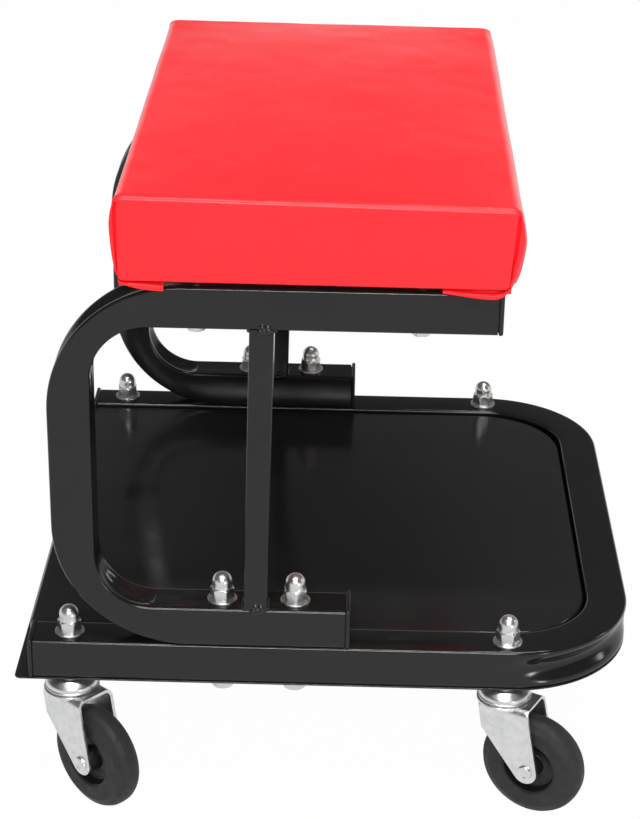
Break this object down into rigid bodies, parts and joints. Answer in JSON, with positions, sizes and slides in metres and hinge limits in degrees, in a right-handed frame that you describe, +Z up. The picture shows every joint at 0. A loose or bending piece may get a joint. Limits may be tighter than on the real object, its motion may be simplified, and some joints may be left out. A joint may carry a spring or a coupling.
{
  "type": "creeper seat",
  "caption": "Low rolling work seat: padded red seat on two C-shaped square-tube legs over a U-shaped tube frame with a tool tray, on swivel casters.",
  "frame": {"origin": "on the floor, under the middle of the tray", "axes": "+X to the closed end of the U-shaped frame, +Y to the rear leg, +Z up"},
  "size_m": [0.373, 0.4192, 0.3952],
  "materials": {
    "black_paint": "gloss powder coat",
    "cap_plastic": "satin moulded plastic",
    "bright_zinc": "bright zinc plating",
    "zinc_sheet": "satin zinc plated pressed sheet",
    "wheel_rubber": "matt moulded rubber",
    "red_vinyl": "smooth satin vinyl",
    "foam": "open cell foam",
    "plywood": "raw plywood"
  },
  "bodies": {
    "frame": {"base_frame": "black_paint", "base_end_caps": "cap_plastic", "tray": "black_paint", "front_seat_leg": "black_paint", "rear_seat_leg": "black_paint", "leg_end_caps": "cap_plastic", "front_strut": "black_paint", "rear_strut": "black_paint", "strut_welds": "black_paint", "leg_bolts": "bright_zinc", "leg_washers": "bright_zinc", "leg_dome_nuts": "bright_zinc", "caster_washers": "bright_zinc", "caster_dome_nuts": "bright_zinc", "seat_board": "plywood", "seat_foam": "foam", "seat_cover": "red_vinyl", "seat_bolts": "bright_zinc", "seat_bolt_washers": "bright_zinc", "seat_tee_nuts": "bright_zinc", "front_left_caster_stem": "bright_zinc", "front_left_race_cup": "bright_zinc", "front_right_caster_stem": "bright_zinc", "front_right_race_cup": "bright_zinc", "rear_left_caster_stem": "bright_zinc", "rear_left_race_cup": "bright_zinc", "rear_right_caster_stem": "bright_zinc", "rear_right_race_cup": "bright_zinc"},
    "front_left_caster": {"front_left_fork": "zinc_sheet", "front_left_race_balls": "bright_zinc", "front_left_axle_rivet": "zinc_sheet", "front_left_axle_bush": "bright_zinc"},
    "front_left_roller": {"front_left_wheel": "wheel_rubber"},
    "front_right_caster": {"front_right_fork": "zinc_sheet", "front_right_race_balls": "bright_zinc", "front_right_axle_rivet": "zinc_sheet", "front_right_axle_bush": "bright_zinc"},
    "front_right_roller": {"front_right_wheel": "wheel_rubber"},
    "rear_left_caster": {"rear_left_fork": "zinc_sheet", "rear_left_race_balls": "bright_zinc", "rear_left_axle_rivet": "zinc_sheet", "rear_left_axle_bush": "bright_zinc"},
    "rear_left_roller": {"rear_left_wheel": "wheel_rubber"},
    "rear_right_caster": {"rear_right_fork": "zinc_sheet", "rear_right_race_balls": "bright_zinc", "rear_right_axle_rivet": "zinc_sheet", "rear_right_axle_bush": "bright_zinc"},
    "rear_right_roller": {"rear_right_wheel": "wheel_rubber"}
  },
  "joints": [
    {"name": "front_left_swivel", "type": "hinge", "parent": "frame", "child": "front_left_caster", "pos_m": [-0.1535, -0.169, 0.0699], "axis": [0, 0, 1], "continuous": true},
    {"name": "front_left_wheel_spin", "type": "hinge", "parent": "front_left_caster", "child": "front_left_roller", "pos_m": [-0.13735, -0.18334, 0.0325], "axis": [0.6639, 0.7478, 0], "continuous": true},
    {"name": "front_right_swivel", "type": "hinge", "parent": "frame", "child": "front_right_caster", "pos_m": [0.1091, -0.169, 0.0699], "axis": [0, 0, 1], "continuous": true},
    {"name": "front_right_wheel_spin", "type": "hinge", "parent": "front_right_caster", "child": "front_right_roller", "pos_m": [0.12826, -0.17897, 0.0325], "axis": [0.4617, 0.887, 0], "continuous": true},
    {"name": "rear_left_swivel", "type": "hinge", "parent": "frame", "child": "rear_left_caster", "pos_m": [-0.1535, 0.169, 0.0699], "axis": [0, 0, 1], "continuous": true},
    {"name": "rear_left_wheel_spin", "type": "hinge", "parent": "rear_left_caster", "child": "rear_left_roller", "pos_m": [-0.13392, 0.17813, 0.0325], "axis": [-0.4226, 0.9063, 0], "continuous": true},
    {"name": "rear_right_swivel", "type": "hinge", "parent": "frame", "child": "rear_right_caster", "pos_m": [0.1091, 0.169, 0.0699], "axis": [0, 0, 1], "continuous": true},
    {"name": "rear_right_wheel_spin", "type": "hinge", "parent": "rear_right_caster", "child": "rear_right_roller", "pos_m": [0.12525, 0.18334, 0.0325], "axis": [-0.6639, 0.7478, 0], "continuous": true}
  ]
}
